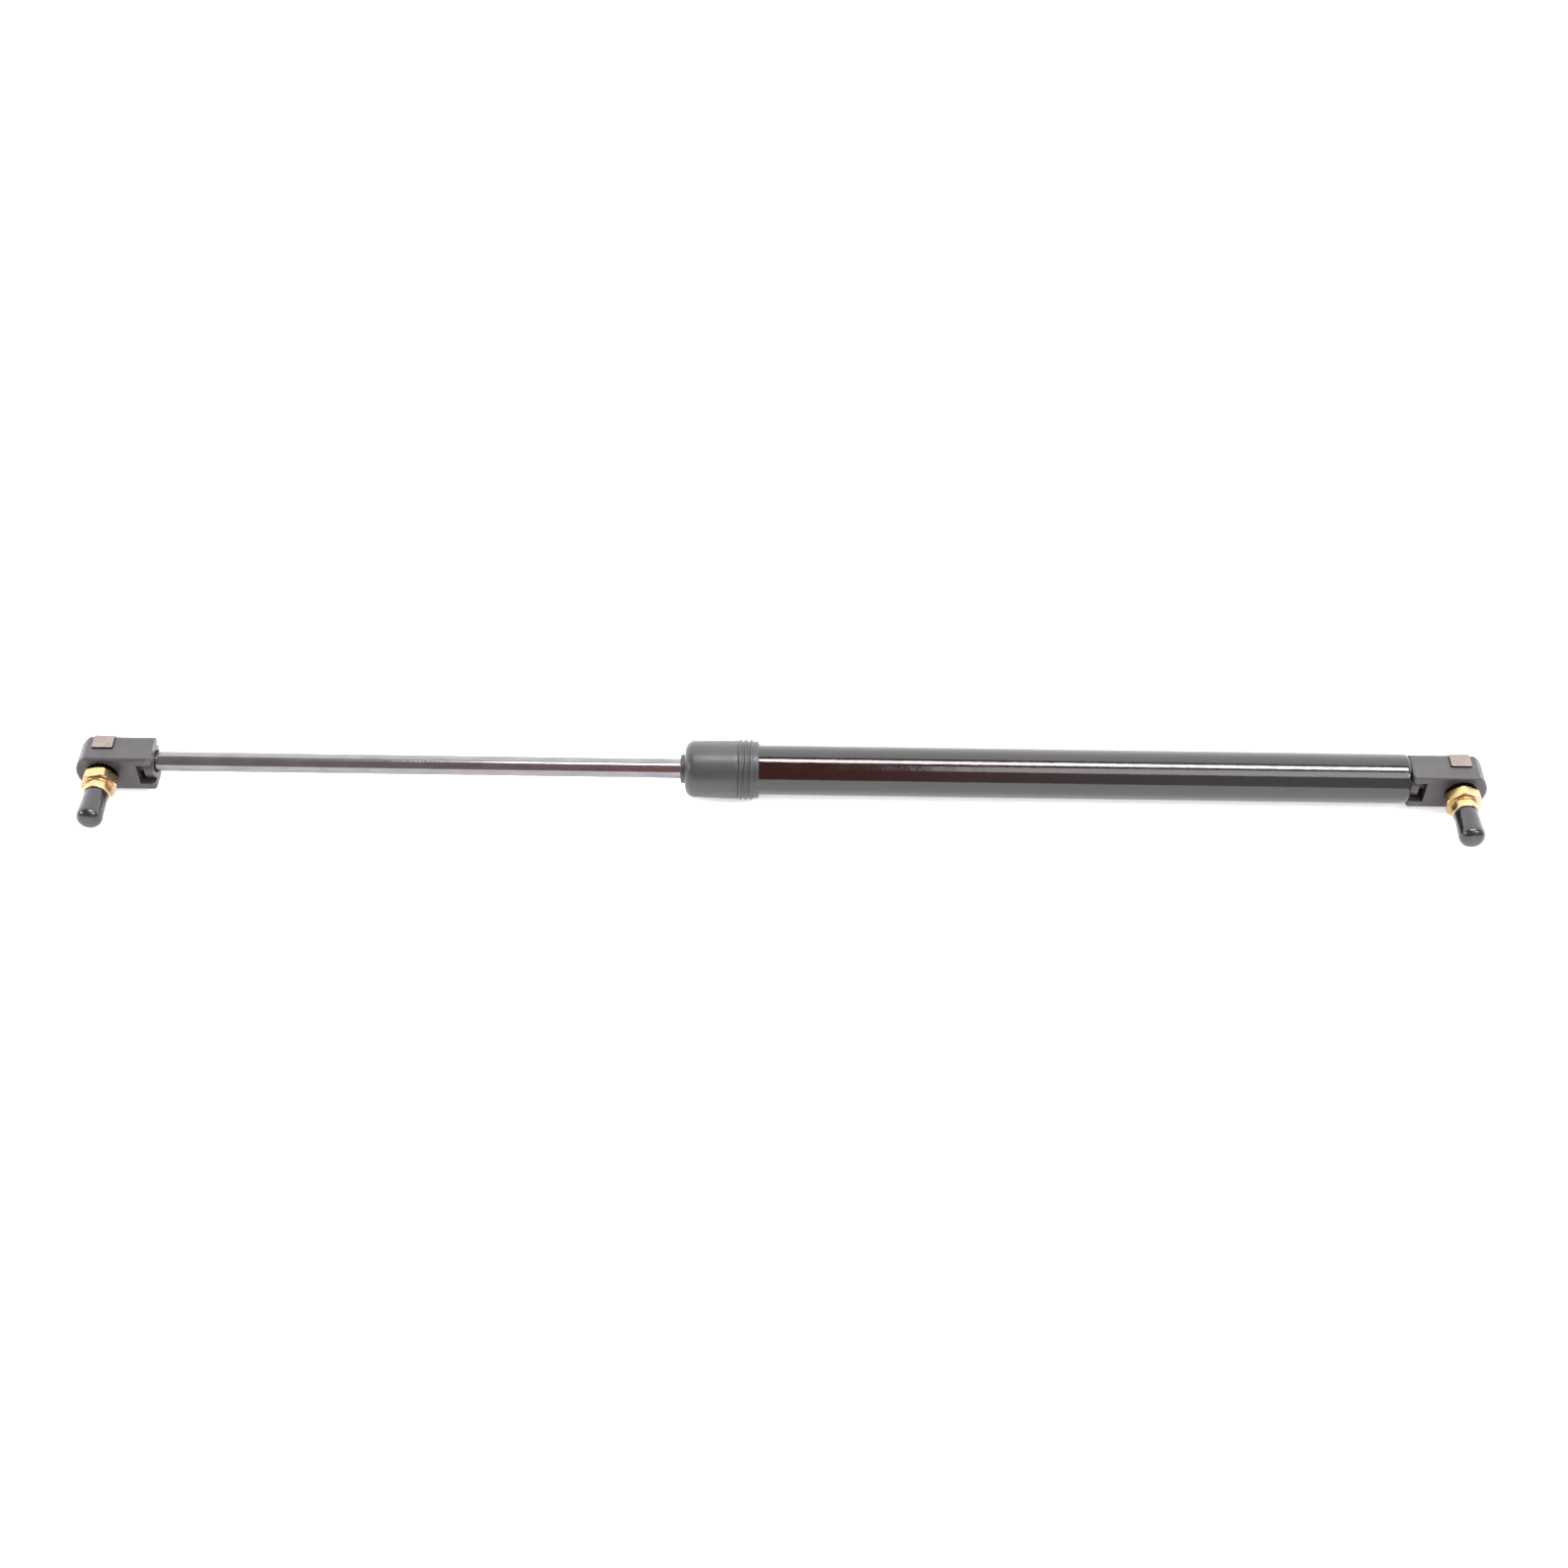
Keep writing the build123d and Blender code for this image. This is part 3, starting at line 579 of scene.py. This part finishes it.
def fillet(corner, before, after, radius, steps):
    """The points of the arc that rounds a corner between its two neighbours."""
    to_before = (before - corner).normalized()
    to_after = (after - corner).normalized()
    half = to_before.angle(to_after) / 2
    start = corner + to_before * radius / math.tan(half)
    end = corner + to_after * radius / math.tan(half)
    centre = corner + (to_before + to_after).normalized() * radius / math.sin(half)
    first = start - centre
    sweep = first.angle_signed(end - centre)
    turns = [Matrix.Rotation(-sweep * step / steps, 2) for step in range(steps + 1)]
    return [centre + turn @ first for turn in turns]


def rounded_outline(corners, closed, steps=FILLET_STEPS):
    """A 2-D outline from (along, out, fillet radius) corners, with each fillet as an arc."""
    places = [Vector((along, out)) for along, out, radius in corners]
    radii = [radius for along, out, radius in corners]
    if not closed:
        radii[0] = radii[-1] = 0
    points = []
    for index, radius in enumerate(radii):
        if radius == 0:
            points.append(places[index])
        else:
            after = places[(index + 1) % len(places)]
            points += fillet(places[index], places[index - 1], after, radius, steps)
    return points


def subdivided(points, longest, closed=False):
    """The same outline with its long runs cut into pieces no longer than this."""
    result = []
    pairs = list(zip(points, points[1:] + points[:1]))
    for first, second in pairs if closed else pairs[:-1]:
        count = max(1, math.ceil((second - first).length / longest))
        result += [first.lerp(second, step / count) for step in range(count)]
    return result if closed else result + [points[-1]]


def smooth_piece(name, grid, smooth_angle):
    """A new object from a bmesh, shaded smooth except at edges sharper than the angle."""
    mesh = bpy.data.meshes.new(name)
    grid.to_mesh(mesh)
    grid.free()
    mesh.shade_smooth()
    mesh.set_sharp_from_angle(angle=math.radians(smooth_angle))
    piece = bpy.data.objects.new(name, mesh)
    bpy.context.scene.collection.objects.link(piece)
    return piece


def lathe(
    name, points, origin, axis, shape,
    closed=False, segments=ROUND_SEGMENTS, start=0, smooth_angle=SMOOTH_ANGLE,
):
    """Turns an outline in millimetres round an axis; shape(angle, along, radius) gives the radius."""
    side = Vector((0, 0, 1))
    other = axis.cross(side)
    grid = bmesh.new()
    rings = []
    for point in points:
        ring = []
        for segment in range(segments):
            angle = start + 2 * math.pi * segment / segments
            outward = side * math.cos(angle) + other * math.sin(angle)
            offset = axis * point.x + outward * shape(angle, point.x, point.y)
            ring.append(grid.verts.new(origin + offset * MM))
        rings.append(ring)
    pairs = list(zip(rings, rings[1:] + rings[:1]))
    for here, there in pairs if closed else pairs[:-1]:
        for segment in range(segments):
            after = (segment + 1) % segments
            grid.faces.new((here[segment], here[after], there[after], there[segment]))
    bmesh.ops.remove_doubles(grid, verts=grid.verts, dist=MERGE_DISTANCE * MM)
    bmesh.ops.recalc_face_normals(grid, faces=grid.faces)
    return smooth_piece(name, grid, smooth_angle)


def stand_in(piece, node, body, slot):
    """Sets a detailed piece in place of a node, with that node's finish, on the node's body, and hides the
    node.
    """
    piece.data.materials.append(slot_materials[slot])
    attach(piece, body)
    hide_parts(node)


# ---------------------------------------------------------------- pieces

def make_floor():
    """A large pale floor that the strut lies on."""
    half = FLOOR_SIZE / 2
    height = cad_box[0].z - FLOOR_GAP
    mesh = bpy.data.meshes.new("floor")
    corners = [(-half, -half, height), (half, -half, height), (half, half, height), (-half, half, height)]
    mesh.from_pydata(corners, [], [(0, 1, 2, 3)])
    floor = bpy.data.objects.new("floor", mesh)
    bpy.context.scene.collection.objects.link(floor)
    floor.data.materials.append(floor_material())


def rubber_wave(seed):
    """A radius change for soft mouldings: low, slow waves, none at the axis."""
    def shape(angle, along, radius):
        round_place = Vector((math.cos(angle) * WAVES_ROUND, math.sin(angle) * WAVES_ROUND, 0))
        place = round_place + Vector((0, 0, along * WAVES_ALONG + seed))
        return radius + WAVE_HEIGHT * value_noise.noise(place) * min(1, radius / WAVE_FADE_RADIUS)
    return shape


def boot_outline(length, rim, rib_radius, tube_radius):
    """The boot's closed section: collar, shoulder, tapering barrel, ribs, band and the bore."""
    barrel_end = length - BOOT_BAND_LENGTH - BOOT_RIB_COUNT * BOOT_RIB_PITCH
    corners = [
        (0, BOOT_HOLE_RADIUS, BOOT_EDGE_FILLET),
        (0, BOOT_COLLAR_RADIUS, BOOT_COLLAR_FILLET),
        (BOOT_COLLAR_LENGTH, BOOT_COLLAR_RADIUS, BOOT_EDGE_FILLET),
        (BOOT_COLLAR_LENGTH, BOOT_FRONT_RADIUS, BOOT_SHOULDER_FILLET),
        (barrel_end, BOOT_BACK_RADIUS, BOOT_BARREL_FILLET),
        (barrel_end, BOOT_BAND_RADIUS, BOOT_STEP_FILLET),
    ]
    for rib in range(BOOT_RIB_COUNT):
        centre = barrel_end + (rib + 0.5) * BOOT_RIB_PITCH
        start = centre - BOOT_RIB_WIDTH / 2
        end = centre + BOOT_RIB_WIDTH / 2
        corners += [
            (start, BOOT_BAND_RADIUS, BOOT_RIB_FOOT_FILLET),
            (start, rib_radius, BOOT_RIB_FILLET),
            (end, rib_radius, BOOT_RIB_FILLET),
            (end, BOOT_BAND_RADIUS, BOOT_RIB_FOOT_FILLET),
        ]
    corners += [
        (length, BOOT_BAND_RADIUS, BOOT_RIB_FILLET),
        (length, tube_radius, BOOT_RIM_FILLET),
        (rim, tube_radius, BOOT_INSIDE_FILLET),
        (rim, BOOT_HOLE_RADIUS, BOOT_EDGE_FILLET),
    ]
    return subdivided(rounded_outline(corners, closed=True), BOOT_ROW, closed=True)


def make_boot():
    """The dust boot, turned round the rod and seated on the tube's end."""
    low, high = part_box("rod_boot")
    tube_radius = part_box("cylinder_tube")[1].z / MM + BOOT_SLIP
    length = (high.x - low.x) / MM
    rim = length - (high.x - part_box("cylinder_tube")[0].x) / MM
    points = boot_outline(length, rim, high.z / MM, tube_radius)
    origin = Vector((low.x, 0, 0))
    boot = lathe("boot_moulding", points, origin, Vector((1, 0, 0)), rubber_wave(BOOT_WAVE_SEED), closed=True)
    stand_in(boot, "rod_boot", "cylinder", "boot_rubber")


def make_cap(end):
    """A dip-moulded vinyl cap: a soft rim, a sleeve that widens a little and a rounded end."""
    centre = Vector(mounts[end + "_ball_centre"]["pos_m"])
    low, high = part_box(end + "_stud_cap")
    cap_end = -low.y / MM
    bore_end = cap_end - CAP_END_WALL
    rim = -high.y / MM
    tip_radius = high.z / MM
    corners = [
        (cap_end, 0, 0),
        (cap_end - CAP_DOME_DROP, CAP_DOME_REACH, CAP_DOME_FILLET),
        (cap_end - CAP_TIP_DROP, tip_radius, CAP_TIP_FILLET),
        (cap_end - CAP_TIP_LENGTH, tip_radius, CAP_SLEEVE_FILLET),
        (rim, CAP_RIM_RADIUS, CAP_RIM_FILLET),
        (rim, CAP_BORE_RADIUS, CAP_BORE_FILLET),
        (bore_end, CAP_BORE_RADIUS, CAP_BORE_END_FILLET),
        (bore_end, 0, 0),
    ]
    points = subdivided(rounded_outline(corners, closed=False), CAP_ROW)
    wave = rubber_wave(CAP_WAVE_SEED[end])
    cap = lathe(end + "_cap_moulding", points, centre, Vector((0, -1, 0)), wave, segments=CAP_SEGMENTS)
    stand_in(cap, end + "_stud_cap", end + "_cap", "cap_vinyl")


def ball_outline():
    """The ball from its far pole to where the neck leaves it."""
    neck_angle = 180 - math.degrees(math.asin(NECK_RADIUS / BALL_RADIUS))
    angles = [math.radians(angle) for angle in range(0, int(neck_angle), BALL_STEP)]
    return [Vector((-BALL_RADIUS * math.cos(angle), BALL_RADIUS * math.sin(angle))) for angle in angles]


def hexagon_radius(turn, radius):
    """A turned radius cut back to six flats; turn is the angle past a corner."""
    from_flat_middle = turn % HEX_SIDE_ANGLE - HEX_SIDE_ANGLE / 2
    flat = HEX_ACROSS_FLATS / 2 / math.cos(from_flat_middle)
    return min(radius - HEX_CORNER_ROUNDING, flat)


def thread_radius(angle, past_start, before_end, radius):
    """A turned radius cut by a helical thread, run in at its start and chamfered at its end."""
    # crest is 1 along the flat crests, 0 along the flat roots and slopes between them
    phase = (past_start / THREAD_PITCH + angle / (2 * math.pi)) % 1
    crest = max(0, min(1, THREAD_PEAK - abs(phase - 0.5) * THREAD_FLANK))
    run_in = min(1, past_start / THREAD_RUN_IN)
    cut_back = 1 - min(1, before_end / SHANK_CHAMFER)
    return radius - THREAD_DEPTH * (1 - crest * run_in) - SHANK_CHAMFER * cut_back * crest


def make_stud(end):
    """A ball stud with a chamfered hexagon, a round shoulder and a cut thread."""
    centre = Vector(mounts[end + "_ball_centre"]["pos_m"])
    shoulder = mounts[end + "_stud_shoulder"]
    thread = mounts[end + "_stud_thread"]
    shoulder_radius = shoulder["dims"]["r_mm"]
    shank_radius = thread["dims"]["r_mm"]
    thread_start = -thread["pos_m"][1] / MM
    thread_end = thread_start + thread["dims"]["length_mm"]
    hex_end = -shoulder["pos_m"][1] / MM - shoulder["dims"]["length_mm"] / 2
    hex_radius = HEX_ACROSS_FLATS / 2 / math.cos(HEX_SIDE_ANGLE / 2)
    neck_start = math.sqrt(BALL_RADIUS**2 - NECK_RADIUS**2)
    corners = [
        (neck_start, NECK_RADIUS, 0),
        (HEX_START, NECK_RADIUS, NECK_FILLET),
        (HEX_START, hex_radius - HEX_CHAMFER_IN, HEX_CHAMFER_FILLET),
        (HEX_START + HEX_CHAMFER_ALONG, hex_radius, HEX_EDGE_FILLET),
        (hex_end - HEX_CHAMFER_ALONG, hex_radius, HEX_EDGE_FILLET),
        (hex_end, hex_radius - HEX_CHAMFER_IN, HEX_CHAMFER_FILLET),
        (hex_end, shoulder_radius, SHOULDER_FOOT_FILLET),
        (thread_start, shoulder_radius, SHOULDER_END_FILLET),
        (thread_start, shank_radius - THREAD_DEPTH, 0),
    ]
    turned = ball_outline() + rounded_outline(corners, closed=False, steps=STUD_FILLET_STEPS)
    shank = [Vector((thread_start, shank_radius)), Vector((thread_end, shank_radius))]
    shank_end = Vector((thread_end, 0))
    points = subdivided(turned, STUD_ROW) + subdivided(shank, THREAD_ROW) + [shank_end]
    corner_angle = math.radians(HEX_TURN[end])

    def shape(angle, along, radius):
        """The radius at an angle: six flats on the hexagon and a helical thread on the shank."""
        on_hexagon = HEX_START - SAME_PLACE < along < hex_end + SAME_PLACE
        if on_hexagon and radius > shoulder_radius:
            return hexagon_radius(angle - corner_angle, radius)
        if along >= thread_start and radius > shank_radius - THREAD_DEPTH / 2:
            return thread_radius(angle, along - thread_start, thread_end - along, radius)
        return radius

    stud = lathe(
        end + "_stud_forging", points, centre, Vector((0, -1, 0)), shape,
        start=corner_angle, smooth_angle=STUD_SMOOTH_ANGLE,
    )
    stand_in(stud, end + "_ball_stud", end + "_stud", "stud_zinc")


# ---------------------------------------------------------------- the scene

make_camera()
make_world()
make_floor()
softbox("key", angle=89.0, distance=1.2, offset_x=0.20, length=0.96, width=0.28, radiance=22)
softbox("strip_right", angle=60.0, distance=1.4, offset_x=0.60, length=0.95, width=0.60, radiance=5)
softbox("side_right", angle=60, distance=1.4, offset_x=1.15, length=0.30, width=0.26, radiance=30)
softbox("side_left", angle=62, distance=0.65, offset_x=-1.31, length=0.30, width=0.26, radiance=30)

slot_materials = {
    "tube_paint": gloss_black_paint(),
    "rod_steel": nitrided_rod(),
    "plain_steel": plain_steel(),
    "clip_steel": clip_steel(),
    "stud_zinc": yellow_zinc(),
    "socket_plastic": socket_plastic(),
    "boot_rubber": boot_rubber(),
    "cap_vinyl": cap_vinyl(),
    "guide_bronze": guide_bronze(),
    "seal_rubber": seal_rubber(),
    "piston_plastic": natural_acetal(),
}
for subpart in record["subparts"]:
    node = frame["nodes"][subpart["node"]]
    for material_slot in node.material_slots:
        material_slot.material = slot_materials[subpart["material_slot"]]

make_boot()
for end in ("tube", "rod"):
    make_cap(end)
    make_stud(end)

bpy.context.scene.view_settings.view_transform = "Standard"
